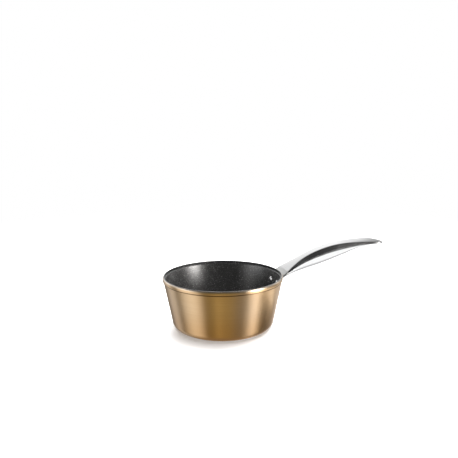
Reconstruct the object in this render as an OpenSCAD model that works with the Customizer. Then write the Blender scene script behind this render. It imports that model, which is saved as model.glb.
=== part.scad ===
// Small saucepan: a pressed aluminium cup with a non-stick lining, a steel base disc for
// induction hobs, and a hollow steel handle on a riveted bracket.
// Millimetres. The pan stands on z = 0 with its axis on Z, and the handle points along +X.

/* [Cup] */
// Height from the table to the top of the rim
pan_height = 73; // [64:0.5:90]
// Outside radius of the rim band
rim_radius = 83; // [75:0.5:100]
// Lean of the wall from vertical, in degrees
wall_lean = 11.3; // [6:0.1:14]
// Thickness of the wall
wall_thickness = 2.4; // [2:0.1:3]
// Thickness of the floor
floor_thickness = 3.8; // [3:0.1:6]
// Radius of the bottom corner on the outside
outer_corner = 11; // [8:0.5:16]
// Radius of the bottom corner on the inside
inner_corner = 10; // [6:0.5:14]

/* [Rim] */
// Height of the thicker band round the rim
band_height = 5.2; // [5:0.1:8]
// Distance that the band stands out from the wall
band_step = 0.9; // [0.6:0.1:1.4]
// Height of the groove under the band
groove_height = 1.1; // [0.8:0.1:1.6]
// Depth of the groove under the band
groove_depth = 0.5; // [0.2:0.1:0.8]
// Thickness of the lip above the ledge that a lid sits on
lip_thickness = 2; // [1.6:0.1:2.4]
// Depth of that ledge below the top of the rim
ledge_depth = 4; // [3.5:0.1:4.4]
// Rounding of the lip's outer edge
lip_round = 0.8; // [0.4:0.1:1]
// Thickness of the non-stick coating
coat = 0.3; // [0.2:0.05:0.4]

/* [Base disc] */
// Thickness of the steel disc under the base
disc_thickness = 0.9; // [0.6:0.1:1.5]
// Width of aluminium left showing round the disc
disc_margin = 0.4; // [0.2:0.1:2]

/* [Bracket] */
// Width of the flange on the wall
flange_width = 38; // [34:0.5:42]
// Height of the flange
flange_height = 16; // [12:0.5:18]
// Thickness of the flange
flange_thickness = 1.8; // [1.5:0.1:2.2]
// Length of the bare neck between the rim and the handle
neck_length = 8; // [7:0.5:10]
// Thickness of the neck's walls
neck_wall = 1.5; // [1.2:0.1:1.8]
// Number of slots through the underside of the neck
slot_count = 6; // [4:1:7]
// Width of a slot
slot_width = 2; // [1.5:0.1:2.5]
// Distance between the slots' centres
slot_pitch = 5.1; // [4:0.1:5.2]

/* [Rivets] */
// Distance between the two rivets
rivet_spacing = 22; // [18:0.5:24]
// Height of the rivets on the outside of the wall
rivet_height = 55.5; // [52:0.1:58]
// Radius of the shank
shank_radius = 2.5; // [2:0.1:3]
// Radius of the domed head inside the pan
dome_radius = 4.4; // [4:0.1:5]
// Height of that head
dome_height = 2; // [1.6:0.1:2.4]
// Radius of the low head outside
tail_radius = 3.8; // [3.4:0.1:4]
// Height of the low head
tail_height = 1.3; // [1:0.1:1.6]

/* [Handle] */
// Length of the handle beyond the rim
handle_length = 168; // [150:1:190]
// Thickness of the handle's sheet steel
sheet = 1.2; // [1:0.1:1.4]
// Length of the rounded end
tip_length = 15; // [12:0.5:20]

/* [Hidden] */
$fn = 96;

lip_top = pan_height - coat;
band_base = pan_height - band_height;
lip_radius = rim_radius - lip_thickness;
ledge_z = pan_height - ledge_depth;

// The bottom corner's arc would touch this plane; the disc's bonding face cuts it just above.
corner_plane = disc_thickness - 0.2;
inner_floor = corner_plane + floor_thickness;

// Sections that shape the handle. Each row holds the distance beyond the rim of a 168 mm handle,
// the height of the top face above the rim, the half width of the top face, the half width at
// the seam, the drop from the top face to the seam, and the depth from the top face to the belly.
handle_sections = [
  [  0, -5.8, 18.3, 18.8, 1.6,  5.2],
  [  6, -1.4, 17.4, 18.2, 2.2,  7.8],
  [ 14,  3.9, 13.9, 16.7, 3.0, 11.4],
  [ 30, 12.8,  8.9, 14.4, 4.2, 17.1],
  [ 45, 19.9,  7.8, 13.2, 5.7, 21.0],
  [ 60, 25.5,  8.4, 12.7, 6.9, 23.4],
  [ 80, 30.7,  9.6, 12.6, 7.3, 23.2],
  [100, 33.2, 11.5, 13.2, 6.5, 19.4],
  [125, 33.8, 14.3, 15.2, 4.3, 10.8],
  [150, 33.3, 18.0, 18.6, 2.6,  5.0],
  [168, 31.5, 18.1, 18.7, 1.8,  3.6]];
nominal_length = 168;

// The shells' sections lie closer together in the rounded end.
shell_steps = 27;
tip_steps = 9;
crown_points = 6;
belly_points = 14;
neck_back = -4;

function hermite(a, b, ma, mb, t) =
  (2 * t * t * t - 3 * t * t + 1) * a + (t * t * t - 2 * t * t + t) * ma +
  (3 * t * t - 2 * t * t * t) * b + (t * t * t - t * t) * mb;

// Slope of column k at row i, from the rows on each side
function slope(i, k) =
  let (last = len(handle_sections) - 1,
       before = handle_sections[max(i - 1, 0)],
       after = handle_sections[min(i + 1, last)])
  (after[k] - before[k]) / (after[0] - before[0]);

// Row that starts the stretch which holds s
function row_of(s) =
  max([for (i = [0:len(handle_sections) - 2]) if (handle_sections[i][0] <= max(s, 0)) i]);

// Column k of the handle's sections at a distance s beyond the rim
function along(s, k) =
  let (u = s * nominal_length / handle_length,
       i = row_of(u),
       a = handle_sections[i],
       b = handle_sections[i + 1],
       span = b[0] - a[0])
  hermite(a[k], b[k], slope(i, k) * span, slope(i + 1, k) * span, (u - a[0]) / span);

// 1 along the handle, falling as a quarter ellipse to a small blunt end
function end_factor(s) =
  let (e = max(s - (handle_length - tip_length), 0) / tip_length)
  max(sqrt(max(1 - e * e, 0)), 0.12);

function top_z(s) = pan_height + along(s, 1) - 0.6 * (1 - end_factor(s));
function seam_half(s) = along(s, 3) * end_factor(s);
function top_half(s) = min(along(s, 2) * end_factor(s), seam_half(s) - 0.3);
function side_drop(s) = along(s, 4) * (0.35 + 0.65 * end_factor(s));
function belly_depth(s) = along(s, 5) * (0.4 + 0.6 * end_factor(s));
function seam_z(s) = top_z(s) - side_drop(s);
function crown(s) = 0.06 * top_half(s);

// Half of the section above the seam, from one seam edge to the other, moved in by a thickness
function upper_path(s, inset) =
  let (w = seam_half(s),
       inner_w = max(w - 1.25 * inset, 0.25 * w),
       c = min(top_half(s), inner_w - 0.05 * w),
       lift = max(side_drop(s) - inset, 0) / side_drop(s))
  concat(
    [[-inner_w, seam_z(s)]],
    [for (i = [0:crown_points])
      let (y = -1 + 2 * i / crown_points)
      [y * c, seam_z(s) + lift * (side_drop(s) + crown(s) * (1 - y * y))]],
    [[inner_w, seam_z(s)]]);

// Half of the section below the seam, a rounded belly, moved in by a thickness
function lower_path(s, inset) =
  let (w = seam_half(s),
       inner_w = max(w - 1.25 * inset, 0.25 * w),
       depth = belly_depth(s) - side_drop(s),
       inner_depth = max(depth - inset, 0))
  [for (i = [0:belly_points])
    let (a = 180 * i / belly_points,
         side = cos(a),
         fall = pow(sin(a), 0.8))
    [inner_w * side, seam_z(s) - inner_depth * fall]];

function reversed(list) = [for (i = [len(list) - 1:-1:0]) list[i]];

// Closed section of one shell: its outside from seam to seam, and back along its inside
function upper_loop(s) = concat(upper_path(s, 0), reversed(upper_path(s, sheet)));
function lower_loop(s) = concat(lower_path(s, 0), reversed(lower_path(s, sheet)));

// Closed section of the whole handle: across the top, and back round the belly
function whole_loop(s, inset) =
  concat(upper_path(s, inset), [for (i = [1:belly_points - 1]) lower_path(s, inset)[i]]);

// Triangles that close one end of a sweep. Each joins points that face each other across the loop,
// and the diagonal turns over half way, so that none is flat where the shell is solid.
function end_cap(start, sides, flip) =
  [for (j = [0:floor(sides / 2) - 2])
    let (a = start + j, b = a + 1, d = start + sides - 1 - j, c = d - 1,
         pair = j < sides / 4 - 1 ? [[a, b, d], [b, c, d]] : [[a, b, c], [a, c, d]])
    each flip ? [reversed(pair[0]), reversed(pair[1])] : pair];

shell_stations = concat(
  [for (i = [0:shell_steps]) neck_length + (handle_length - tip_length - neck_length) * i / shell_steps],
  [for (i = [1:tip_steps]) handle_length - tip_length * (1 - sin(90 * i / tip_steps))]);

// Solid through a list of closed sections, each in a plane across the handle
module sweep(stations, loops) {
  sides = len(loops[0]);
  last = len(loops) - 1;
  points = [for (i = [0:last], p = loops[i]) [rim_radius + stations[i], p[0], p[1]]];
  walls = [for (i = [0:last - 1], j = [0:sides - 1])
    let (a = i * sides + j, b = i * sides + (j + 1) % sides)
    each [[a, b, b + sides], [a, b + sides, a + sides]]];
  polyhedron(points, concat(walls, end_cap(0, sides, true), end_cap(last * sides, sides, false)));
}

// Radius of the wall at height z, on a surface moved out from it by a distance
function wall_radius(z, out) =
  rim_radius - band_step - (band_base - z) * tan(wall_lean) + out / cos(wall_lean);

// Half section of a cup with a leaning wall and a round corner, filled to its axis
module cup_section(floor_z, corner, out, top) {
  centre_z = floor_z + corner;
  centre_x = wall_radius(centre_z, out) - corner / cos(wall_lean);
  tangent = [centre_x + corner * cos(wall_lean), centre_z - corner * sin(wall_lean)];
  reach = 2 * corner;
  polygon([[0, floor_z], [centre_x, floor_z], [centre_x, centre_z], tangent,
           [wall_radius(top, out), top], [0, top]]);
  intersection() {
    translate([centre_x, centre_z]) circle(r = corner);
    polygon([[centre_x, centre_z], [centre_x, centre_z - reach],
             [centre_x + reach, centre_z - reach],
             [centre_x + reach, centre_z - reach * tan(wall_lean)]]);
  }
}

// Half section of the band round the rim, filled to the axis
module band_section() {
  round_centre = [rim_radius - lip_round, lip_top - lip_round];
  polygon(concat(
    [[0, band_base], [rim_radius - 0.3, band_base], [rim_radius, band_base + 0.4]],
    [for (a = [0:15:90]) round_centre + lip_round * [cos(a), sin(a)]],
    [[0, lip_top]]));
}

module groove_section() {
  groove_z = band_base - groove_height;
  bottom = wall_radius(band_base, 0) - groove_depth;
  polygon([[rim_radius + 1, groove_z], [wall_radius(groove_z, 0), groove_z],
           [bottom, groove_z + 0.4], [bottom, band_base], [rim_radius + 1, band_base]]);
}

// Room inside the cup, up to a height, with the surfaces moved in by a thickness
module room_section(inset, top) {
  cup_section(inner_floor + inset, inner_corner - inset, -wall_thickness - inset, ledge_z + inset - coat);
  translate([0, ledge_z + inset - coat])
    square([lip_radius - inset, top - ledge_z - inset + coat]);
}

// Layer round the pan between two surfaces parallel to the wall
module wall_layer(inside, outside, bottom, top) {
  rotate_extrude()
    polygon([[wall_radius(bottom, inside), bottom], [wall_radius(bottom, outside), bottom],
             [wall_radius(top, outside), top], [wall_radius(top, inside), top]]);
}

// Frame on the wall at a rivet: its own +Z points straight out of the wall
module at_rivet(side) {
  radius = wall_radius(rivet_height, 0);
  rotate([0, 0, side * asin(rivet_spacing / 2 / radius)])
    translate([radius, 0, rivet_height])
      rotate([0, 90 + wall_lean, 0])
        children();
}

module shank(side) {
  at_rivet(side) translate([0, 0, -8]) cylinder(r = shank_radius, h = 16);
}

module pan_body() {
  color("#b98a55")
    difference() {
      rotate_extrude()
        difference() {
          union() {
            cup_section(corner_plane, outer_corner, 0, band_base);
            band_section();
          }
          room_section(0, pan_height);
          groove_section();
          square([rim_radius, disc_thickness]);
        }
      for (side = [-1, 1]) shank(side);
    }
}

module nonstick_lining() {
  color("#2c2d2f")
    difference() {
      rotate_extrude()
        difference() {
          union() {
            room_section(0, pan_height);
            translate([0, lip_top]) square([rim_radius - lip_round, coat]);
          }
          room_section(coat, pan_height);
        }
      for (side = [-1, 1]) shank(side);
    }
}

module induction_disc() {
  edge = 0.4;
  corner_x = wall_radius(corner_plane + outer_corner, 0) - outer_corner / cos(wall_lean);
  rise = outer_corner - (disc_thickness - corner_plane);
  radius = corner_x + sqrt(outer_corner * outer_corner - rise * rise) - disc_margin;
  color("#b9babb")
    rotate_extrude()
      polygon([[0, 0], [radius - edge, 0], [radius, edge], [radius, disc_thickness],
               [0, disc_thickness]]);
}

module rounded_plate(width, height, radius, depth) {
  linear_extrude(depth) {
    square([width - 2 * radius, height], center = true);
    square([width, height - 2 * radius], center = true);
    for (x = [-1, 1], y = [-1, 1])
      translate([x * (width / 2 - radius), y * (height / 2 - radius)]) circle(r = radius);
  }
}

// Plate that lies on the wall below the band
module flange() {
  middle = band_base - groove_height - 0.1 - flange_height / 2;
  intersection() {
    wall_layer(0, flange_thickness, middle - flange_height, middle + flange_height / 2);
    translate([rim_radius / 2, 0, middle])
      rotate([90, 0, 90]) rounded_plate(flange_width, flange_height, 3.5, rim_radius);
  }
}

// Outside of the neck, from the flange to the end of the handle's shells
module neck() {
  stations = [neck_back, 0, 2, 4, 6, neck_length];
  difference() {
    sweep(stations, [for (s = stations) whole_loop(max(s, 0), 0)]);
    wall_layer(-20, 0.9, band_base - 20, band_base - groove_height);
    translate([0, 0, band_base - groove_height - 0.1])
      cylinder(r = rim_radius + 0.4, h = 2 * band_height);
  }
}

// Air inside the neck, closed at the back and at the handle's end
module neck_hollow() {
  stations = [2.2, 3, 5, neck_length - neck_wall];
  sweep(stations, [for (s = stations) whole_loop(s, neck_wall)]);
}

// Strap that reaches from the neck into the handle, for the weld
module tongue() {
  reach = 20;
  half = 9;
  thickness = 1.6;
  steps = [for (i = [0:5]) neck_length - 1 + reach * i / 5];
  translate([rim_radius, half, 0])
    rotate([90, 0, 0])
      linear_extrude(2 * half)
        polygon(concat(
          [for (s = steps) [s, seam_z(s) - 1]],
          [for (s = reversed(steps)) [s, seam_z(s) - 1 - thickness]]));
}

module neck_slots() {
  for (i = [0:slot_count - 1])
    translate([rim_radius + 2.6, (i - (slot_count - 1) / 2) * slot_pitch - slot_width / 2, band_base - 10])
      cube([neck_length - neck_wall - 2.8, slot_width, seam_z(3) - band_base + 10.5]);
}

module handle_bracket() {
  color("#c9cacb")
    difference() {
      union() {
        flange();
        neck();
        tongue();
      }
      neck_hollow();
      neck_slots();
      for (side = [-1, 1]) shank(side);
    }
}

module handle_upper_shell() {
  color("#d4d5d6") sweep(shell_stations, [for (s = shell_stations) upper_loop(s)]);
}

module handle_lower_shell() {
  color("#c4c5c6") sweep(shell_stations, [for (s = shell_stations) lower_loop(s)]);
}

// Domed head inside, low head outside, and a shank through the lining, the wall and the flange
module rivet(side) {
  skirt = 0.5;
  sink = 0.6;
  inner_face = wall_thickness + coat;
  cap = dome_height - skirt;
  dome_sphere = (dome_radius * dome_radius + cap * cap) / (2 * cap);
  color("#cfd0d1")
    difference() {
      union() {
        at_rivet(side) {
          translate([0, 0, -inner_face - skirt])
            cylinder(r = dome_radius, h = skirt + sink);
          intersection() {
            translate([0, 0, -inner_face - dome_height + dome_sphere]) sphere(r = dome_sphere);
            translate([0, 0, -inner_face - dome_height - 1]) cylinder(r = dome_radius, h = 2 + cap);
          }
          translate([0, 0, -inner_face - skirt])
            cylinder(r = shank_radius, h = inner_face + skirt + flange_thickness + 0.5);
          translate([0, 0, flange_thickness - sink])
            cylinder(r1 = tail_radius, r2 = tail_radius - 0.8, h = tail_height + sink);
        }
      }
      difference() {
        wall_layer(-inner_face, flange_thickness, rivet_height - 9, rivet_height + 7);
        shank(side);
      }
    }
}

module rivet_near() { rivet(-1); }

module rivet_far() { rivet(1); }

pan_body();
nonstick_lining();
induction_disc();
handle_bracket();
handle_upper_shell();
handle_lower_shell();
rivet_near();
rivet_far();
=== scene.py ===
"""Looks of the small saucepan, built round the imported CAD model. Lengths in mm unless said."""

import math

import bmesh
import bpy
from mathutils import Matrix, Vector


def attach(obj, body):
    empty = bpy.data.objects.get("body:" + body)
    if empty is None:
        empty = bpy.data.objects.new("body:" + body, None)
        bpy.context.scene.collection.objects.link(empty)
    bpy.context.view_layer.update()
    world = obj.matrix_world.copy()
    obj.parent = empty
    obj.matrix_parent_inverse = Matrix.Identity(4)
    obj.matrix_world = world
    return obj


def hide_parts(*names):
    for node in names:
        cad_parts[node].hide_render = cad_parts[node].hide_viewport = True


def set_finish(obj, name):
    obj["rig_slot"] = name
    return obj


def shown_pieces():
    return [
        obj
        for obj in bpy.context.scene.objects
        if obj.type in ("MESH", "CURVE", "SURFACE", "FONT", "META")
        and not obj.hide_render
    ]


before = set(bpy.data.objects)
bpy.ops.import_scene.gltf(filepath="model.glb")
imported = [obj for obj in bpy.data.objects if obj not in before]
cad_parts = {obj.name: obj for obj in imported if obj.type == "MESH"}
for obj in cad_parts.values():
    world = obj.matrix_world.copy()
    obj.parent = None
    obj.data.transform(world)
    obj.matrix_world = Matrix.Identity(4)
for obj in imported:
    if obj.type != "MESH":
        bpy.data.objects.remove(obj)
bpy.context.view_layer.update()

MM = 0.001

# Driving sizes, the same as the CAD model's
PAN_HEIGHT = 73.0
RIM_RADIUS = 83.0
LEAN = math.radians(11.3)
WALL = 2.4
FLOOR = 3.8
OUTER_CORNER, INNER_CORNER = 11.0, 10.0
BAND_HEIGHT, BAND_STEP = 5.2, 0.9
GROOVE_HEIGHT, GROOVE_DEPTH = 1.1, 0.5
LIP = 2.0
LEDGE_DEPTH = 4.0
COAT = 0.3
DISC = 0.9
DISC_MARGIN = 0.4
FLANGE_WIDTH, FLANGE_HEIGHT, FLANGE_THICKNESS = 38.0, 16.0, 1.8
FLANGE_CORNER = 3.5
NECK_LENGTH = 8.0
NECK_WALL = 1.5
SLOTS, SLOT_WIDTH, SLOT_PITCH = 6, 2.0, 5.1
SLOT_START, SLOT_LENGTH = 2.6, NECK_LENGTH - NECK_WALL - 2.8
RIVET_SPACING, RIVET_HEIGHT = 22.0, 55.5
SHANK_RADIUS = 2.5
DOME_RADIUS, DOME_HEIGHT = 4.4, 2.0
TAIL_RADIUS, TAIL_HEIGHT = 3.8, 1.3
HANDLE_LENGTH = 168.0
SHEET = 1.2
TIP_LENGTH = 15.0

# Sizes worked out from them
BAND_BASE = PAN_HEIGHT - BAND_HEIGHT
CORNER_PLANE = DISC - 0.2
INNER_FLOOR = CORNER_PLANE + FLOOR
LEDGE = PAN_HEIGHT - LEDGE_DEPTH
LIP_TOP = PAN_HEIGHT - COAT
LIP_JOIN = PAN_HEIGHT - 1.2
FLANGE_MIDDLE = BAND_BASE - GROOVE_HEIGHT - 0.1 - FLANGE_HEIGHT / 2

# Finer shape that only the visible pieces have
ROLL_WIDTH, ROLL_HEIGHT = 1.3, 3.2
FLANGE_EDGE, FLANGE_SPACING = 0.6, 1.5
RING_PITCH, RING_DEPTH = 0.55, 0.012
GAP = 0.02

# Numbers of steps round the pan, round a rivet, along the wall and the handle, and in the handle's outline
AROUND = 288
RIVET_AROUND = 72
WALL_STEPS = 14
BODY_STEPS, TIP_STEPS = 90, 22
TOP_POINTS, BELLY_POINTS = 10, 44

# The handle's sections: distance beyond the rim, top above the rim, half width of the top face,
# half width at the seam, drop from the top face to the seam, depth from the top face to the belly.
# They began as a least-squares fit to the handle's outline in the photograph, and were rounded and
# changed.
HANDLE_SECTIONS = [
    (0, -5.8, 18.3, 18.8, 1.6, 5.2), (6, -1.4, 17.4, 18.2, 2.2, 7.8),
    (14, 3.9, 13.9, 16.7, 3.0, 11.4), (30, 12.8, 8.9, 14.4, 4.2, 17.1),
    (45, 19.9, 7.8, 13.2, 5.7, 21.0), (60, 25.5, 8.4, 12.7, 6.9, 23.4),
    (80, 30.7, 9.6, 12.6, 7.3, 23.2), (100, 33.2, 11.5, 13.2, 6.5, 19.4),
    (125, 33.8, 14.3, 15.2, 4.3, 10.8), (150, 33.3, 18.0, 18.6, 2.6, 5.0),
    (168, 31.5, 18.1, 18.7, 1.8, 3.6)]


# ---------------------------------------------------------------- shapes


def wall_radius(z, out=0.0):
    """Radius of the wall's outside at a height, or of the surface a distance out from it."""
    return RIM_RADIUS - BAND_STEP - (BAND_BASE - z) * math.tan(LEAN) + out / math.cos(LEAN)


def along(s, k):
    """Column k of the handle's sections at a distance s beyond the rim."""
    rows = HANDLE_SECTIONS
    i = max(j for j in range(len(rows) - 1) if rows[j][0] <= max(s, 0))
    a, b = rows[i], rows[i + 1]
    span = b[0] - a[0]

    def slope(j):
        before, after = rows[max(j - 1, 0)], rows[min(j + 1, len(rows) - 1)]
        return (after[k] - before[k]) / (after[0] - before[0]) * span

    t = (s - a[0]) / span
    return ((2 * t**3 - 3 * t**2 + 1) * a[k] + (t**3 - 2 * t**2 + t) * slope(i)
            + (3 * t**2 - 2 * t**3) * b[k] + (t**3 - t**2) * slope(i + 1))


# The rounded tip: the least share of the width left, how far the top falls, and the shares of the
# drop and of the depth that don't shrink. Then the least sideways run of a side face.
TIP_WIDTH, TIP_FALL = 0.12, 0.6
DROP_KEPT, DEPTH_KEPT = 0.35, 0.4
SIDE_RUN = 0.3


def section(s):
    """Top height, half width of the top, half width at the seam, side drop and belly depth."""
    e = max(s - (HANDLE_LENGTH - TIP_LENGTH), 0) / TIP_LENGTH
    end = max(math.sqrt(max(1 - e * e, 0)), TIP_WIDTH)
    top = PAN_HEIGHT + along(s, 1) - TIP_FALL * (1 - end)
    seam = along(s, 3) * end
    flat = min(along(s, 2) * end, seam - SIDE_RUN)
    drop = along(s, 4) * (DROP_KEPT + (1 - DROP_KEPT) * end)
    return top, flat, seam, drop, along(s, 5) * (DEPTH_KEPT + (1 - DEPTH_KEPT) * end)


# Half angle above which a corner counts as straight, the share of its shorter side that an arc may
# take, and the share of that room that a held point may take
STRAIGHT = math.radians(89.5)
ARC_ROOM, HOLD_ROOM = 0.48, 0.3


def rounded(corners, steps=6, hold=0.1, closed=False):
    """Outline through corners (x, y, radius).

    Each corner becomes an arc with a point held beside each end. A corner that is nearly straight
    gets the same number of points along its two sides.
    """
    points = []
    count = len(corners)
    for i, (x, y, r) in enumerate(corners):
        here = Vector((x, y))
        if r <= 0 or (not closed and i in (0, count - 1)):
            points.append(here)
            continue
        back = Vector(corners[i - 1][:2]) - here
        on = Vector(corners[(i + 1) % count][:2]) - here
        room = ARC_ROOM * min(back.length, on.length)
        back.normalize()
        on.normalize()
        half = back.angle(on) / 2
        if half > STRAIGHT:
            reach = min(r, room)
            last_step = steps / 2 + 1
            for k in range(steps + 3):
                j = k - last_step
                points.append(here + (back if j < 0 else on) * reach * abs(j) / last_step)
            continue
        reach = min(r / math.tan(half), room)
        radius = reach * math.tan(half)
        centre = here + (back + on).normalized() * (radius / math.sin(half))
        first, last = here + back * reach - centre, here + on * reach - centre
        turn = math.pi - 2 * half
        sense = 1 if first.cross(last) > 0 else -1
        points.append(centre + first + back * min(hold, room * HOLD_ROOM))
        for j in range(steps + 1):
            a = sense * turn * j / steps
            points.append(centre + Vector((first.x * math.cos(a) - first.y * math.sin(a),
                                           first.x * math.sin(a) + first.y * math.cos(a))))
        points.append(centre + last + on * min(hold, room * HOLD_ROOM))
    return points


def arc(cx, cy, r, start, end, steps):
    """Points of an arc, with angles in degrees."""
    return [Vector((cx + r * math.cos(math.radians(start + (end - start) * i / steps)),
                    cy + r * math.sin(math.radians(start + (end - start) * i / steps))))
            for i in range(steps + 1)]


def spread(a, b, steps):
    """Points between a and b, without the ends."""
    a, b = Vector(a), Vector(b)
    return [a.lerp(b, i / steps) for i in range(1, steps)]


def add_object(name, bm):
    """Object from a bmesh in metres."""
    mesh = bpy.data.meshes.new(name)
    bm.to_mesh(mesh)
    bm.free()
    added = bpy.data.objects.new(name, mesh)
    bpy.context.scene.collection.objects.link(added)
    return added


def add_solid(name, bm):
    """Object from a closed bmesh in mm, with its faces turned outwards."""
    bmesh.ops.recalc_face_normals(bm, faces=bm.faces)
    bmesh.ops.scale(bm, vec=(MM, MM, MM), verts=bm.verts)
    return add_object(name, bm)


def new_piece(name, bm, slot, replaces, matrix=None):
    """A piece that rides on the pan's one body, from a closed bmesh in mm."""
    piece = add_solid(name, bm)
    piece.data.shade_smooth()
    if matrix is not None:
        piece.data.transform(matrix)
    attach(piece, "root")
    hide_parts(*replaces)
    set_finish(piece, slot)
    return piece


def lathe(profile, around=AROUND):
    """Closed solid turned about Z from a profile that starts and ends on the axis."""
    bm = bmesh.new()
    rings = []
    for p in profile:
        if p[0] < 1e-6:
            rings.append([bm.verts.new((0, 0, p[1]))])
        else:
            rings.append([bm.verts.new((p[0] * math.cos(2 * math.pi * i / around),
                                        p[0] * math.sin(2 * math.pi * i / around), p[1]))
                          for i in range(around)])
    for a, b in zip(rings, rings[1:]):
        for i in range(around):
            j = (i + 1) % around
            if len(a) == 1:
                bm.faces.new((a[0], b[i], b[j]))
            elif len(b) == 1:
                bm.faces.new((a[i], b[0], a[j]))
            else:
                bm.faces.new((a[i], b[i], b[j], a[j]))
    return bm


def join_rows(bm, rows):
    """Faces between rows of vertices, each row closed on itself."""
    n = len(rows[0])
    for a, b in zip(rows, rows[1:]):
        for i in range(n):
            j = (i + 1) % n
            bm.faces.new((a[i], a[j], b[j], b[i]))


def sweep(loops, hollow=False):
    """Closed solid through closed loops of 3-D points. The ends of a hollow one join outside to inside."""
    bm = bmesh.new()
    rows = [[bm.verts.new(p) for p in loop] for loop in loops]
    join_rows(bm, rows)
    n = len(rows[0])
    for row in (rows[0], rows[-1]):
        if hollow:
            for j in range(n // 2 - 1):
                bm.faces.new((row[j], row[j + 1], row[n - 2 - j], row[n - 1 - j]))
        else:
            bm.faces.new(row)
    return bm


def apply_modifiers(piece):
    """Bakes a piece's modifiers into its mesh."""
    graph = bpy.context.evaluated_depsgraph_get()
    mesh = bpy.data.meshes.new_from_object(piece.evaluated_get(graph))
    piece.modifiers.clear()
    piece.data = mesh


# ---------------------------------------------------------------- cup, lining and base disc


def corner_arc(floor, corner, out, start):
    """Arc of the bottom corner, from an angle in degrees up to where it meets the wall."""
    cz = floor + corner
    cx = wall_radius(cz, out) - corner / math.cos(LEAN)
    return arc(cx, cz, corner, start, -math.degrees(LEAN), 16)


def inside_profile(inset):
    """Inner surface from the lip's top down to the axis, moved in by a thickness, in two parts."""
    ledge = LEDGE + inset - COAT
    lip = RIM_RADIUS - LIP - inset
    corner = corner_arc(INNER_FLOOR + inset, INNER_CORNER - inset, -WALL - inset, -90)[::-1]
    lip_corner = rounded([(lip, LIP_JOIN, 0), (lip, ledge, 0.35),
                          (wall_radius(ledge, -WALL - inset), ledge, 0.4),
                          (wall_radius(ledge - 6, -WALL - inset), ledge - 6, 0)], 5)
    wall = spread(lip_corner[-1], corner[0], WALL_STEPS)
    middle = (0, INNER_FLOOR + inset)
    floor = spread(corner[-1], middle, WALL_STEPS) + [Vector(middle)]
    return lip_corner, wall + corner + floor


def cup_profile():
    """Cup from the middle of its base, up the outside, over the rolled rim and down the inside."""
    base_z = DISC + 0.01
    middle = Vector((0, base_z))
    cz = CORNER_PLANE + OUTER_CORNER
    start = -math.degrees(math.asin((cz - base_z) / OUTER_CORNER))
    bottom = corner_arc(CORNER_PLANE, OUTER_CORNER, 0, start)
    base = [middle] + spread(middle, bottom[0], 8) + [bottom[0].lerp(middle, 0.004)]
    groove = BAND_BASE - GROOVE_HEIGHT
    below = groove - 8
    deep = wall_radius(BAND_BASE) - GROOVE_DEPTH
    outside = RIM_RADIUS - GAP
    rim = rounded([(wall_radius(below), below, 0), (wall_radius(groove), groove, 0.3),
                   (deep, groove + 0.4, 0.2), (deep, BAND_BASE, 0.2),
                   (outside, BAND_BASE, 0.45), (outside, LIP_TOP - ROLL_HEIGHT, 0)])
    roll = [Vector((outside - ROLL_WIDTH * (1 - math.cos(a)), LIP_TOP - ROLL_HEIGHT * (1 - math.sin(a))))
            for a in (math.radians(6 * i) for i in range(1, 16))]
    inside = RIM_RADIUS - LIP + GAP
    inside_edge = rounded([(outside - ROLL_WIDTH, LIP_TOP, 0), (inside, LIP_TOP, 0.3),
                           (inside, LIP_TOP - 2, 0)])
    lip_corner, inner = inside_profile(-GAP)
    wall = spread(bottom[-1], rim[0], WALL_STEPS)
    return base + bottom + wall + rim + roll + inside_edge[1:] + lip_corner[1:] + inner


def lining_profile():
    """Coating from the floor's underside, up its outer face, over the rim's top and down its inner face."""
    lip_in, inner = inside_profile(COAT)
    lip_out, outer = inside_profile(0)
    over = RIM_RADIUS - ROLL_WIDTH - 0.1
    back, front = RIM_RADIUS - LIP, RIM_RADIUS - LIP - COAT
    seat = LIP_TOP + 0.001
    rim = rounded([(back, LIP_TOP - 1, 0), (back, seat, 0), (over + 0.2, seat, 0.05),
                   (over + 0.05, PAN_HEIGHT, 0.22), (front, PAN_HEIGHT, 0.25),
                   (front, LIP_JOIN, 0)])
    return outer[::-1] + lip_out[::-1][:-1] + rim[:-1] + lip_in + inner


def disc_profile():
    """Thin steel disc with fine turned rings of uneven depth on its underside."""
    cz = CORNER_PLANE + OUTER_CORNER
    cx = wall_radius(cz) - OUTER_CORNER / math.cos(LEAN)
    radius = cx + math.sqrt(OUTER_CORNER**2 - (cz - DISC) ** 2) - DISC_MARGIN
    rings = []
    for i in range(int((radius - 3) / RING_PITCH)):
        r = 1 + i * RING_PITCH
        height = RING_DEPTH * (1 + math.sin(i * 1.7)) / 2
        rings += [Vector((r, 0)), Vector((r + RING_PITCH / 2, height))]
    edge = rounded([(radius - 1.6, 0, 0), (radius - 0.9, 0, 0.1), (radius - 0.7, 0.18, 0.1),
                    (radius - 0.45, 0.05, 0.12), (radius, 0.4, 0.25), (radius, DISC, 0.15),
                    (radius - 1.5, DISC, 0)], 4)
    return [Vector((0, 0))] + rings + edge + [Vector((0, DISC))]


new_piece("cup", lathe(cup_profile()), "copper_lacquer", ["pan_body"])
new_piece("lining", lathe(lining_profile()), "stone_coating", ["nonstick_lining"])
new_piece("base_disc", lathe(disc_profile()), "spun_steel", ["induction_disc"])


# ---------------------------------------------------------------- handle

# Radius of the top face's creases, its crown as a share of its half width, and the belly's roundness
CREASE = 1.5
CROWN = 0.06
BELLY_POWER = 0.8
# Bevels at the shells' two ends, how fast the first runs out, and the first loops' distances within it
NECK_BEVEL, TIP_BEVEL = 0.22, 0.35
BEVEL_SLOPE = 0.9
BEVEL_LOOPS = (0, 0.12, 0.3)
# Inset at the seam for each mm of thickness, least share of the seam's width left, and the
# least share of a point's distance that a bevel leaves
SEAM_INSET, SEAM_LEFT, BEVEL_LEFT = 1.25, 0.25, 0.02


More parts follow.
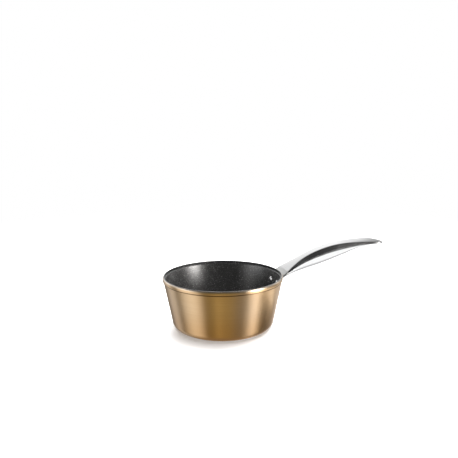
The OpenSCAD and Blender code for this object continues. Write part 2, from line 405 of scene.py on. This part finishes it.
def seam_width(seam, inset):
    """Half width at the seam, moved in by a thickness."""
    return max(seam - SEAM_INSET * inset, SEAM_LEFT * seam)


def upper_outline(s, inset):
    """Section above the seam, from one seam edge to the other, with rounded creases."""
    top, flat, seam, drop, _depth = section(s)
    seam_z = top - drop
    w = seam_width(seam, inset)
    c = min(flat, w - 0.05 * seam)
    lift = max(drop - inset, 0) / drop
    crown = CROWN * flat
    corners = [(-w, seam_z, 0), (-c, seam_z + lift * drop, CREASE)]
    for i in range(1, TOP_POINTS):
        y = -1 + 2 * i / TOP_POINTS
        corners.append((y * c, seam_z + lift * (drop + crown * (1 - y * y)), 0))
    corners += [(c, seam_z + lift * drop, CREASE), (w, seam_z, 0)]
    side = [Vector(corners[0][:2]).lerp(Vector(corners[1][:2]), t) for t in (0, 0.04, 0.25, 0.5)]
    points = rounded(corners, 6, 0.25)
    mirrored = [Vector((-p.x, p.y)) for p in side[::-1]]
    return side + points[1:-1] + mirrored


def lower_outline(s, inset):
    """Section below the seam, a rounded belly."""
    top, _flat, seam, drop, depth = section(s)
    w = seam_width(seam, inset)
    d = max(depth - drop - inset, 0)
    points = []
    for i in range(BELLY_POINTS + 1):
        a = math.pi * i / BELLY_POINTS
        points.append(Vector((w * math.cos(a), top - drop - d * max(math.sin(a), 0) ** BELLY_POWER)))
    return points


def place(outline, s, bevel=0.0):
    """Points of a section in the part's frame, drawn in by a bevel towards the section's middle."""
    middle = sum(outline, Vector((0, 0))) / len(outline)
    placed = []
    for p in outline:
        away = p - middle
        q = middle + away * max(1 - bevel / max(away.length, 1e-6), BEVEL_LEFT)
        placed.append((RIM_RADIUS + s, q.x, q.y))
    return placed


def stations(start, end):
    """Distances along a shell, close together in its bevel and its rounded end."""
    body_length = end - TIP_LENGTH - start
    body = [start + step for step in BEVEL_LOOPS]
    body += [start + body_length * i / BODY_STEPS for i in range(1, BODY_STEPS + 1)]
    tip = [end - TIP_LENGTH * (1 - math.sin(math.pi / 2 * i / TIP_STEPS)) for i in range(1, TIP_STEPS + 1)]
    return body + tip


def shell(outline):
    """Loops of one shell: its outside from seam to seam, and back along its inside."""

    def loop(s, bevel):
        return place(outline(s, 0), s, bevel) + place(outline(s, SHEET), s, bevel)[::-1]

    loops = [loop(s, max(NECK_BEVEL - (s - NECK_LENGTH) * BEVEL_SLOPE, 0))
             for s in stations(NECK_LENGTH, HANDLE_LENGTH)]
    loops[-1] = [(x - TIP_BEVEL, y, z) for x, y, z in loops[-1]]
    loops.append(loop(HANDLE_LENGTH, TIP_BEVEL))
    return loops


new_piece("handle_top", sweep(shell(upper_outline), hollow=True),
          "polished_steel", ["handle_upper_shell"])
new_piece("handle_belly", sweep(shell(lower_outline), hollow=True),
          "polished_steel", ["handle_lower_shell"])


# ---------------------------------------------------------------- bracket

# Stations of the neck's outside and of its hollow, and the bevels of the last two outside ones
NECK_OUTSIDE = [-3.6, -2, -1, 0, 1, 2, 3, 4, 5, 6, 7, 7.6, 7.85, NECK_LENGTH]
NECK_INSIDE = [2.2, 3, 4, 5, NECK_LENGTH - NECK_WALL]
NECK_BEVELS = {7.85: 0.05, NECK_LENGTH: NECK_BEVEL}
RIM_CLEARANCE = 0.35
SHARP = math.radians(35)


def flange_mesh():
    """Plate with rounded corners and edges that follows the leaning wall."""
    half_w, half_h = FLANGE_WIDTH / 2, FLANGE_HEIGHT / 2
    signs = ((-1, -1), (1, -1), (1, 1), (-1, 1))
    outline = rounded([(x * half_w, y * half_h, FLANGE_CORNER) for x, y in signs], 10, 0.4, closed=True)
    fine = []
    for a, b in zip(outline, outline[1:] + outline[:1]):
        parts = max(1, round((b - a).length / FLANGE_SPACING))
        fine += [a.lerp(b, i / parts) for i in range(parts)]
    bm = bmesh.new()

    def on_wall(p, out):
        z = FLANGE_MIDDLE + p.y
        return bm.verts.new((math.sqrt(wall_radius(z, out) ** 2 - p.x**2), p.x, z))

    def drawn_in(p, inset):
        return Vector((math.copysign(max(abs(p.x) - inset, 0), p.x),
                       math.copysign(max(abs(p.y) - inset, 0), p.y)))

    shoulder = FLANGE_THICKNESS - FLANGE_EDGE
    rows = [[on_wall(p * share, out) for p in fine]
            for out, share in ((GAP, 0.3), (GAP, 0.7), (GAP, 1.0), (shoulder, 1.0))]
    for a in (math.radians(22.5 * i) for i in range(1, 5)):
        inset = FLANGE_EDGE * (1 - math.cos(a))
        rows.append([on_wall(drawn_in(p, inset), shoulder + FLANGE_EDGE * math.sin(a)) for p in fine])
    rows += [[on_wall(p * share, FLANGE_THICKNESS) for p in fine] for share in (0.93, 0.8, 0.6, 0.4, 0.2)]
    join_rows(bm, rows)
    for row, out in ((rows[0], GAP), (rows[-1], FLANGE_THICKNESS)):
        centre = on_wall(Vector((0, 0)), out)
        for a, b in zip(row, row[1:] + row[:1]):
            bm.faces.new((a, b, centre))
    return bm


def whole_outline(s, inset):
    """Closed section of both shells together."""
    return upper_outline(s, inset) + lower_outline(s, inset)[1:-1]


def slot_mesh():
    """Round-ended prisms that cut the row of slots."""
    bm = bmesh.new()
    x0 = RIM_RADIUS + SLOT_START
    r = SLOT_WIDTH / 2 - 0.05
    top, _flat, _seam, drop, _depth = section(3)
    below, in_hollow = BAND_BASE - 10, top - drop + 0.5
    for i in range(SLOTS):
        y = (i - (SLOTS - 1) / 2) * SLOT_PITCH
        ends = arc(x0 + r, y, r, 90, 270, 8) + arc(x0 + SLOT_LENGTH - r, y, r, -90, 90, 8)
        rows = [[bm.verts.new((p.x, p.y, z)) for p in ends] for z in (below, in_hollow)]
        join_rows(bm, rows)
        for row in rows:
            bm.faces.new(row)
    return bm


def make_neck():
    """Neck between the rim and the handle's shells, hollow, with its row of slots."""
    outside = [place(whole_outline(max(s, 0), 0), s, NECK_BEVELS.get(s, 0)) for s in NECK_OUTSIDE]
    hollow = [place(whole_outline(s, NECK_WALL), s) for s in NECK_INSIDE]
    low, high = BAND_BASE - 1.2, PAN_HEIGHT + 5
    rim = [(0, low), (RIM_RADIUS + RIM_CLEARANCE, low), (RIM_RADIUS + RIM_CLEARANCE, high), (0, high)]
    neck = new_piece("bracket_neck", sweep(outside), "bracket_steel", ["handle_bracket"])
    cutters = [add_solid("cut_hollow", sweep(hollow)), add_solid("cut_slots", slot_mesh()),
               add_solid("cut_rim", lathe(rim))]
    for cutter in cutters:
        boolean = neck.modifiers.new(cutter.name, "BOOLEAN")
        boolean.operation = "DIFFERENCE"
        boolean.solver = "EXACT"
        boolean.object = cutter
    bpy.context.view_layer.update()
    apply_modifiers(neck)
    for cutter in cutters:
        bpy.data.objects.remove(cutter)
    neck.data.set_sharp_from_angle(angle=SHARP)


make_neck()
new_piece("bracket_flange", flange_mesh(), "bracket_steel", ["handle_bracket"])


# ---------------------------------------------------------------- rivets


def rivet_profile():
    """Low head outside, shank, and domed head inside. Its own +Z points out of the wall."""
    face = -(WALL + COAT)
    tip = face - DOME_HEIGHT
    skirt = 0.5
    sink = 0.6
    cap = DOME_HEIGHT - skirt
    sphere = (DOME_RADIUS**2 + cap**2) / (2 * cap)
    reach = math.degrees(math.asin(DOME_RADIUS / sphere))
    dome = arc(0, tip + sphere, sphere, -90, -90 + reach, 14)
    dome[0] = Vector((0, tip))
    tail, tail_top = FLANGE_THICKNESS, FLANGE_THICKNESS + TAIL_HEIGHT
    under = rounded([(dome[-2].x, dome[-2].y, 0), (DOME_RADIUS, face - skirt, 0.35),
                     (DOME_RADIUS, face + sink, 0.1), (SHANK_RADIUS, face + sink, 0.1),
                     (SHANK_RADIUS, tail - sink, 0.1), (TAIL_RADIUS, tail - sink, 0.1),
                     (TAIL_RADIUS, tail + 0.35, 0.5), (TAIL_RADIUS - 1.0, tail_top, 0.8),
                     (0, tail_top, 0)], 6)
    return dome[:-2] + under


def make_rivets():
    """A rivet on each side of the handle, set square to the leaning wall."""
    radius = wall_radius(RIVET_HEIGHT)
    turn = math.asin(RIVET_SPACING / 2 / radius)
    stand = (Matrix.Translation((radius * MM, 0, RIVET_HEIGHT * MM))
             @ Matrix.Rotation(math.pi / 2 + LEAN, 4, "Y"))
    for side, name in ((-1, "near"), (1, "far")):
        new_piece(f"rivet_head_{name}", lathe(rivet_profile(), RIVET_AROUND), "rivet_steel",
                  [f"rivet_{name}"], Matrix.Rotation(side * turn, 4, "Z") @ stand)


make_rivets()


# ---------------------------------------------------------------- materials


class Graph:
    """Short calls for building one node tree."""

    def __init__(self, tree):
        self.tree = tree
        tree.nodes.clear()

    def node(self, kind, links=(), **settings):
        n = self.tree.nodes.new(kind)
        for key, value in settings.items():
            setattr(n, key, value)
        for socket, value in dict(links).items():
            if hasattr(value, "links"):
                self.tree.links.new(value, n.inputs[socket])
            else:
                n.inputs[socket].default_value = value
        return n

    def math(self, operation, a, b=0.0, c=0.0):
        return self.node("ShaderNodeMath", {0: a, 1: b, 2: c}, operation=operation).outputs[0]

    def remap(self, value, low, high, to_low, to_high):
        return self.node("ShaderNodeMapRange", {"Value": value, "From Min": low, "From Max": high,
                                                "To Min": to_low, "To Max": to_high},
                         interpolation_type="SMOOTHSTEP").outputs["Result"]

    def mix(self, factor, a, b):
        return self.node("ShaderNodeMix", {0: factor, 6: a, 7: b}, data_type="RGBA").outputs[2]

    def blend(self, factor, a, b):
        return self.node("ShaderNodeMixShader", {0: factor, 1: a, 2: b}).outputs[0]

    def noise(self, vector, scale, detail=3.0, rough=0.5):
        return self.node("ShaderNodeTexNoise", {"Vector": vector, "Scale": scale, "Detail": detail,
                                                "Roughness": rough}).outputs["Fac"]

    def stretched(self, vector, scale):
        return self.node("ShaderNodeMapping", {"Vector": vector, "Scale": scale}).outputs["Vector"]

    def place(self):
        return self.node("ShaderNodeTexCoord").outputs["Object"]

    def split(self, vector):
        return self.node("ShaderNodeSeparateXYZ", {0: vector}).outputs

    def join(self, x, y, z):
        return self.node("ShaderNodeCombineXYZ", {0: x, 1: y, 2: z}).outputs[0]


def material(name):
    m = bpy.data.materials.new(name)
    m.use_nodes = True
    return m, Graph(m.node_tree)


def surface(g, color, roughness, normal, tangent=None, **sockets):
    """Principled shader with linked colour and roughness, and fixed values on its other sockets."""
    links = {"Base Color": color, "Roughness": roughness, **sockets, "Normal": normal}
    if tangent is not None:
        links["Tangent"] = tangent
    shader = g.node("ShaderNodeBsdfPrincipled", links)
    g.node("ShaderNodeOutputMaterial", {"Surface": shader.outputs[0]})


def grey(level):
    return (level, level, level, 1)


def emission(g, strength):
    """White light given off by a surface."""
    return g.node("ShaderNodeEmission", {"Color": grey(1), "Strength": strength}).outputs[0]


def radial_tangent(g):
    """Direction of brush marks that run round the pan."""
    return g.node("ShaderNodeTangent", direction_type="RADIAL", axis="Z").outputs[0]


def bump(g, height, strength, distance_mm):
    return g.node("ShaderNodeBump", {"Height": height, "Strength": strength,
                                     "Distance": distance_mm * MM}).outputs["Normal"]


def polar(g, point):
    """Angle about Z, distance from Z and height of a point."""
    x, y, z = g.split(point)[:3]
    angle = g.math("ARCTAN2", y, x)
    radius = g.math("SQRT", g.math("ADD", g.math("MULTIPLY", x, x), g.math("MULTIPLY", y, y)))
    return angle, radius, z


# Heights on the cup: where the painted reflection that deepens its tone starts and ends, and where the
# painted highlight on the rim starts and is full
PAINTED_REFLECTION_LOW, PAINTED_REFLECTION_HIGH = 10.0 * MM, 50.0 * MM
PAINTED_HIGHLIGHT_LOW, PAINTED_HIGHLIGHT_HIGH = 70.8 * MM, 72.2 * MM
# Each size of fleck in the coating: scale, share of cells left dark, size in its cell, brightness
FLECKS = ((520.0, 0.62, 0.34, 0.46), (900.0, 0.55, 0.36, 0.32), (1500.0, 0.6, 0.42, 0.2))


def copper_lacquer(g):
    """Brushed round the pan, with a painted reflection that deepens and reddens the tone near the base,
    painted shade in and just below the groove, and a painted highlight on the rim.
    """
    p = g.place()
    angle, _radius, z = polar(g, p)
    strokes = g.join(g.math("MULTIPLY", angle, 1.4), g.math("MULTIPLY", z, 900.0), 0.0)
    brushed = g.noise(strokes, 1.0, 4.0, 0.6)
    cloud = g.noise(p, 22.0, 3.0)
    grain = g.noise(p, 2600.0, 2.0)
    tone = g.mix(cloud, (0.70, 0.465, 0.245, 1), (0.74, 0.50, 0.27, 1))
    tone = g.mix(g.remap(brushed, 0.35, 0.7, 0.0, 0.22), tone, (0.60, 0.38, 0.19, 1))
    # Painted reflection: the tone deepens and reddens towards the base, standing in for the floor that the
    # lower wall reflects
    tone = g.mix(g.remap(z, PAINTED_REFLECTION_LOW, PAINTED_REFLECTION_HIGH, 0.7, 0.0), tone, (0.60, 0.335, 0.13, 1))
    rough = g.math("ADD", g.remap(brushed, 0.3, 0.7, 0.30, 0.36), g.remap(cloud, 0.3, 0.7, -0.015, 0.015))
    # Painted shade: the groove, and a little of the wall just below it, are darkened to stand in for the
    # shadow in the recess
    low, high = (BAND_BASE - GROOVE_HEIGHT) * MM, BAND_BASE * MM
    groove = g.math("MULTIPLY", g.remap(z, low - 0.6 * MM, low + 0.1 * MM, 0.0, 1.0),
                    g.remap(z, high - 0.1 * MM, high + 0.3 * MM, 1.0, 0.0))
    tone = g.mix(g.math("MULTIPLY", groove, 0.85), tone, (0.16, 0.085, 0.035, 1))
    # Painted highlight: the rolled rim is lightened towards its top, with a ragged edge, to stand in for
    # the light it catches
    uneven = g.math("ADD", z, g.math("MULTIPLY", cloud, 0.6 * MM))
    lip_highlight = g.remap(uneven, PAINTED_HIGHLIGHT_LOW, PAINTED_HIGHLIGHT_HIGH, 0.0, 1.0)
    tone = g.mix(g.math("MULTIPLY", lip_highlight, 0.7), tone, (0.84, 0.75, 0.64, 1))
    lines = g.math("ADD", g.math("MULTIPLY", brushed, 0.7), g.math("MULTIPLY", grain, 0.3))
    surface(g, tone, rough, bump(g, lines, 0.12, 0.03), radial_tangent(g),
            **{"Metallic": 1.0, "Anisotropic": 0.85, "Anisotropic Rotation": 0.25,
               "Coat Weight": 0.25, "Coat Roughness": 0.12, "Coat IOR": 1.5})


def stone_coating(g):
    """Charcoal with a fine mottling and pale flecks of three sizes."""
    p = g.place()
    flecks = []
    for scale, share, size, bright in FLECKS:
        cell = g.node("ShaderNodeTexVoronoi", {"Vector": p, "Scale": scale, "Randomness": 1.0})
        pick = g.math("GREATER_THAN", g.split(cell.outputs["Color"])[0], share)
        blot = g.remap(cell.outputs["Distance"], size * 0.55, size, 1.0, 0.0)
        flecks.append((g.math("MULTIPLY", pick, blot), g.split(cell.outputs["Color"])[1], bright))
    cloud = g.noise(p, 45.0, 3.0)
    grain = g.noise(p, 1900.0, 3.0, 0.6)
    tone = g.mix(cloud, grey(0.009), grey(0.014))
    tone = g.mix(g.remap(grain, 0.35, 0.75, 0.0, 0.5), tone, (0.036, 0.035, 0.034, 1))
    for fleck, shade, bright in flecks:
        pale = g.mix(shade, grey(bright * 0.35), (bright, bright, bright * 0.98, 1))
        tone = g.mix(g.math("MULTIPLY", fleck, 0.85), tone, pale)
    height = g.math("ADD", g.math("MULTIPLY", grain, 0.6), g.math("MULTIPLY", flecks[0][0], 0.25))
    surface(g, tone, g.remap(grain, 0.3, 0.7, 0.27, 0.38), bump(g, height, 0.3, 0.05),
            **{"Specular IOR Level": 1.0, "Coat Weight": 0.6, "Coat Roughness": 0.25, "Coat IOR": 1.8})


def spun_steel(g):
    """Turned in fine circles about the pan's axis."""
    angle, radius, _z = polar(g, g.place())
    circles = g.join(g.math("MULTIPLY", radius, 1800.0), g.math("MULTIPLY", angle, 0.6), 0.0)
    rings = g.noise(circles, 1.0, 5.0, 0.65)
    tone = g.mix(rings, (0.64, 0.635, 0.62, 1), (0.84, 0.83, 0.81, 1))
    surface(g, tone, g.remap(rings, 0.3, 0.7, 0.22, 0.3), bump(g, rings, 0.2, 0.02), radial_tangent(g),
            **{"Metallic": 1.0, "Anisotropic": 0.97, "Anisotropic Rotation": 0.25})


def polished_steel(g):
    """Polished along the handle, with faint smudges."""
    p = g.place()
    lines = g.noise(g.stretched(p, (40.0, 1600.0, 1600.0)), 1.0, 4.0, 0.6)
    smudge = g.noise(p, 28.0, 3.0)
    tone = g.mix(lines, (0.66, 0.66, 0.665, 1), grey(0.74))
    rough = g.math("ADD", g.remap(lines, 0.3, 0.7, 0.13, 0.19), g.remap(smudge, 0.35, 0.7, 0.0, 0.04))
    surface(g, tone, rough, bump(g, lines, 0.06, 0.02), Metallic=1.0)


def bracket_steel(g):
    """Satin steel, brushed along the handle."""
    grain = g.noise(g.stretched(g.place(), (300.0, 1400.0, 1400.0)), 1.0, 4.0, 0.6)
    tone = g.mix(grain, (0.54, 0.545, 0.54, 1), (0.68, 0.685, 0.675, 1))
    surface(g, tone, g.remap(grain, 0.3, 0.7, 0.32, 0.42), bump(g, grain, 0.12, 0.03), Metallic=1.0)


def rivet_steel(g):
    """Polished steel with an even grain."""
    grain = g.noise(g.place(), 900.0, 3.0)
    tone = g.mix(grain, grey(0.60), grey(0.70))
    surface(g, tone, g.remap(grain, 0.3, 0.7, 0.18, 0.28), bump(g, grain, 0.08, 0.02), Metallic=1.0)


finishes = {}
for paint in (copper_lacquer, stone_coating, spun_steel, polished_steel, bracket_steel, rivet_steel):
    finishes[paint.__name__], graph = material(paint.__name__)
    paint(graph)
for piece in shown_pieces():
    piece.data.materials.clear()
    piece.data.materials.append(finishes[piece["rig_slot"]])


# ---------------------------------------------------------------- stage, light and camera

# Camera from a least-squares fit to the photograph's view, in metres and radians. The lens and
# sensor are in mm.
CAMERA_DISTANCE, CAMERA_RISE = 0.699, 0.2649
CAMERA_YAW, CAMERA_PITCH, CAMERA_ROLL = 0.0133, 0.1752, -0.007
LENS, SENSOR = 39.55, 36.0
HANDLE_TURN = Matrix.Rotation(-math.radians(17.2), 3, "Z")

# Level directions from the pan, and up
TO_CAMERA = HANDLE_TURN @ Vector((0, -1, 0))
TO_RIGHT = HANDLE_TURN @ Vector((1, 0, 0))
UP = Vector((0, 0, 1))

# The stage, in metres
FLOOR_RADIUS, FLOOR_SIDES, FLOOR_DROP = 1.4, 64, 0.0002
FADE_START, FADE_END = 0.35, 1.2
BACKDROP_RADIUS = 12.0
CARD_HEIGHT = 0.002
NEAR_CARD = [(0.122, -0.03), (0.15, -0.15), (0.31, -0.8), (0.62, -0.8), (0.36, -0.1), (0.28, -0.03)]
FAR_CARD = [(0.28, -0.03), (0.5, 0.3), (0.17, 0.3), (0.135, -0.03)]
LIGHT_HEIGHT = 1.5


def make_camera():
    """Camera at the photograph's place, aim and roll."""
    data = bpy.data.cameras.new("camera")
    data.sensor_width = SENSOR
    data.lens = LENS
    camera = bpy.data.objects.new("camera", data)
    bpy.context.scene.collection.objects.link(camera)
    stand = Vector((0, -CAMERA_DISTANCE * math.cos(CAMERA_RISE),
                    PAN_HEIGHT * MM + CAMERA_DISTANCE * math.sin(CAMERA_RISE)))
    forward = Vector((math.sin(CAMERA_YAW) * math.cos(CAMERA_PITCH),
                      math.cos(CAMERA_YAW) * math.cos(CAMERA_PITCH), -math.sin(CAMERA_PITCH)))
    level = forward.cross(UP).normalized()
    right = level * math.cos(CAMERA_ROLL) + level.cross(forward) * math.sin(CAMERA_ROLL)
    axes = HANDLE_TURN @ Matrix((right, right.cross(forward), -forward)).transposed()
    camera.matrix_world = Matrix.Translation(HANDLE_TURN @ stand) @ axes.to_4x4()
    bpy.context.scene.camera = camera


def stage_object(name, bm, *unseen_by):
    """Object that isn't part of the pan, unseen by some kinds of ray, and its material's graph."""
    added = add_object(name, bm)
    for ray in unseen_by:
        setattr(added, f"visible_{ray}", False)
    m, g = material(name)
    added.data.materials.append(m)
    return added, g


def make_floor():
    """Pale disc that fades out with distance and is clear from below."""
    bm = bmesh.new()
    centre = bm.verts.new((0, 0, 0))
    turns = [2 * math.pi * i / FLOOR_SIDES for i in range(FLOOR_SIDES)]
    ring = [bm.verts.new((FLOOR_RADIUS * math.cos(a), FLOOR_RADIUS * math.sin(a), 0)) for a in turns]
    for a, b in zip(ring, ring[1:] + ring[:1]):
        bm.faces.new((centre, a, b))
    floor, g = stage_object("floor", bm, "glossy")
    floor.location.z = -FLOOR_DROP
    p = g.place()
    _angle, radius, _z = polar(g, p)
    tone = g.mix(g.noise(p, 6.0), grey(0.90), grey(0.93))
    paper = g.node("ShaderNodeBsdfDiffuse", {"Color": tone}).outputs[0]
    lifted = g.blend(0.3, paper, emission(g, 1.0))
    gloss = g.node("ShaderNodeBsdfGlossy", {"Color": grey(1), "Roughness": 0.35}).outputs[0]
    satin = g.blend(0.12, lifted, gloss)
    clear = g.node("ShaderNodeBsdfTransparent").outputs[0]
    back = g.node("ShaderNodeNewGeometry").outputs["Backfacing"]
    fade = g.math("MAXIMUM", g.remap(radius, FADE_START, FADE_END, 0.0, 1.0), back)
    g.node("ShaderNodeOutputMaterial", {"Surface": g.blend(fade, satin, clear)})
    return floor


def make_backdrop():
    """White dome that only the camera sees."""
    bm = bmesh.new()
    bmesh.ops.create_uvsphere(bm, u_segments=48, v_segments=24, radius=BACKDROP_RADIUS)
    _dome, g = stage_object("backdrop", bm, "diffuse", "glossy", "transmission", "shadow")
    g.node("ShaderNodeOutputMaterial", {"Surface": emission(g, 1.0)})


# Brightness and tint of the studio round the pan, by the angle in degrees from the camera's side,
# right positive: one table for what lies below the horizon and one for what lies above it. The
# values were chosen by comparing renders with the photograph.
TINTS = {"n": (1.0, 1.0, 1.0), "w": (1.0, 0.85, 0.42), "c": (0.95, 1.02, 1.13), "b": (0.86, 1.0, 1.32),
         "p": (1.0, 0.97, 0.94)}
LOW_BANDS = [
    (-180, 0.9, "n"), (-170, 0.6, "n"), (-158, 0.12, "n"), (-148, 0.12, "n"), (-136, 0.6, "c"),
    (-116, 0.95, "c"), (-106, 0.1, "n"), (-98, 0.1, "n"), (-88, 0.98, "c"), (-64, 1.35, "c"),
    (-52, 1.05, "n"), (-38, 0.28, "w"), (-24, 0.36, "w"), (-12, 0.6, "w"), (8, 0.44, "w"),
    (44, 0.26, "n"), (54, 0.38, "c"), (63, 0.85, "b"), (73, 1.6, "b"), (82, 0.6, "c"),
    (92, 0.06, "n"), (108, 0.06, "n"), (122, 0.25, "n"), (140, 0.3, "n"), (152, 1.0, "n"),
    (172, 1.0, "n"), (180, 0.9, "n")]
HIGH_BANDS = [
    (-180, 1.3, "n"), (-172, 1.25, "n"), (-160, 1.0, "n"), (-146, 1.0, "n"), (-125, 1.3, "n"),
    (-112, 0.5, "n"), (-98, 0.7, "n"), (-88, 1.5, "n"), (-76, 2.1, "n"), (-64, 1.6, "n"),
    (-54, 1.1, "n"), (-44, 0.35, "n"), (-34, 0.06, "n"), (43, 0.06, "n"), (49, 2.4, "p"),
    (56, 11.0, "p"), (64, 14.0, "p"), (72, 9.5, "p"), (82, 1.6, "p"), (92, 0.3, "n"),
    (110, 0.3, "n"), (125, 1.3, "n"), (150, 0.4, "n"), (161, 0.45, "n"), (165, 1.0, "n"),
    (170, 1.3, "n"), (180, 1.3, "n")]

# Where the studio changes, by the height of a direction, from -1 straight down to 1 straight up:
# from the low table to the high one, to the dark ceiling, to the bright cap, and to the ground.
# The ceiling is lower towards the camera, and the cap is only on the far side.
HORIZON = (-0.1, 0.1)
CEILING, CEILING_TILT = (0.44, 0.62), 0.3
CAP, CAP_FRONT = (0.9, 0.97), (-0.12, 0.0)
GROUND = (-0.9, -0.74)


def studio_ramp(g, share, bands):
    """Colour of one table at a share of the turn, from 0 to 1."""
    ramp = g.node("ShaderNodeValToRGB", {0: share})
    ramp.color_ramp.interpolation = "EASE"
    stops = ramp.color_ramp.elements
    for i, (angle, level, tint) in enumerate(bands):
        stop = stops[i] if i < 2 else stops.new(1.0)
        stop.position = (angle + 180) / 360
        stop.color = tuple(level * t for t in TINTS[tint]) + (1,)
    return ramp.outputs[0]


def make_world():
    """Studio that lights the pan and that its steel and lacquer reflect."""
    world = bpy.data.worlds.new("studio")
    bpy.context.scene.world = world
    world.use_nodes = True
    g = Graph(world.node_tree)
    p = g.node("ShaderNodeTexCoord").outputs["Generated"]
    front, right = (g.node("ShaderNodeVectorMath", {0: p, 1: way}, operation="DOT_PRODUCT").outputs["Value"]
                    for way in (TO_CAMERA, TO_RIGHT))
    share = g.math("MULTIPLY_ADD", g.math("ARCTAN2", right, front), 1 / (2 * math.pi), 0.5)
    z = g.split(p)[2]
    level = g.mix(g.remap(z, *HORIZON, 0.0, 1.0), studio_ramp(g, share, LOW_BANDS),
                  studio_ramp(g, share, HIGH_BANDS))
    tilted = g.math("ADD", z, g.math("MULTIPLY", front, CEILING_TILT))
    level = g.mix(g.remap(tilted, *CEILING, 0.0, 1.0), level, grey(0.045))
    cap = g.math("MULTIPLY", g.remap(z, *CAP, 0.0, 1.0), g.remap(front, *CAP_FRONT, 1.0, 0.0))
    level = g.mix(cap, level, grey(1.1))
    level = g.mix(g.remap(z, *GROUND, 1.0, 0.0), level, (0.36, 0.30, 0.24, 1))
    glow = g.node("ShaderNodeBackground", {"Color": level, "Strength": 1.0})
    g.node("ShaderNodeOutputWorld", {"Surface": glow.outputs[0]})


def make_card(name, corners, strength):
    """Bright card beside the pan, below the handle, that only reflections see."""
    bm = bmesh.new()
    bm.faces.new([bm.verts.new((x, y, CARD_HEIGHT)) for x, y in corners])
    _card, g = stage_object(name, bm, "camera", "diffuse", "transmission", "shadow")
    g.node("ShaderNodeOutputMaterial", {"Surface": emission(g, strength)})


def area_light(name, right, back, target, side, power, receiver=None):
    """Square light above and behind the pan, aimed at a height on its axis.

    A light with a receiver lights that object only.
    """
    data = bpy.data.lights.new(name, "AREA")
    data.shape = "RECTANGLE"
    data.size = data.size_y = side
    data.energy = power
    lamp = bpy.data.objects.new(name, data)
    lamp.visible_glossy = False
    bpy.context.scene.collection.objects.link(lamp)
    if receiver is not None:
        only = bpy.data.collections.new(f"{name}_receivers")
        only.objects.link(receiver)
        lamp.light_linking.receiver_collection = only
    position = TO_RIGHT * right - TO_CAMERA * back + UP * LIGHT_HEIGHT
    aim = (UP * target - position).to_track_quat("-Z", "Y")
    lamp.matrix_world = Matrix.Translation(position) @ aim.to_matrix().to_4x4()


make_camera()
paper_floor = make_floor()
make_backdrop()
make_world()
make_card("near_card", NEAR_CARD, 1.4)
make_card("far_card", FAR_CARD, 0.75)
area_light("overhead", right=0.3, back=0.5, target=0.03, side=1.6, power=75.0)
area_light("floor_wash", right=0.25, back=0.6, target=0.0, side=2.8, power=114.0, receiver=paper_floor)
bpy.context.scene.view_settings.view_transform = "Standard"
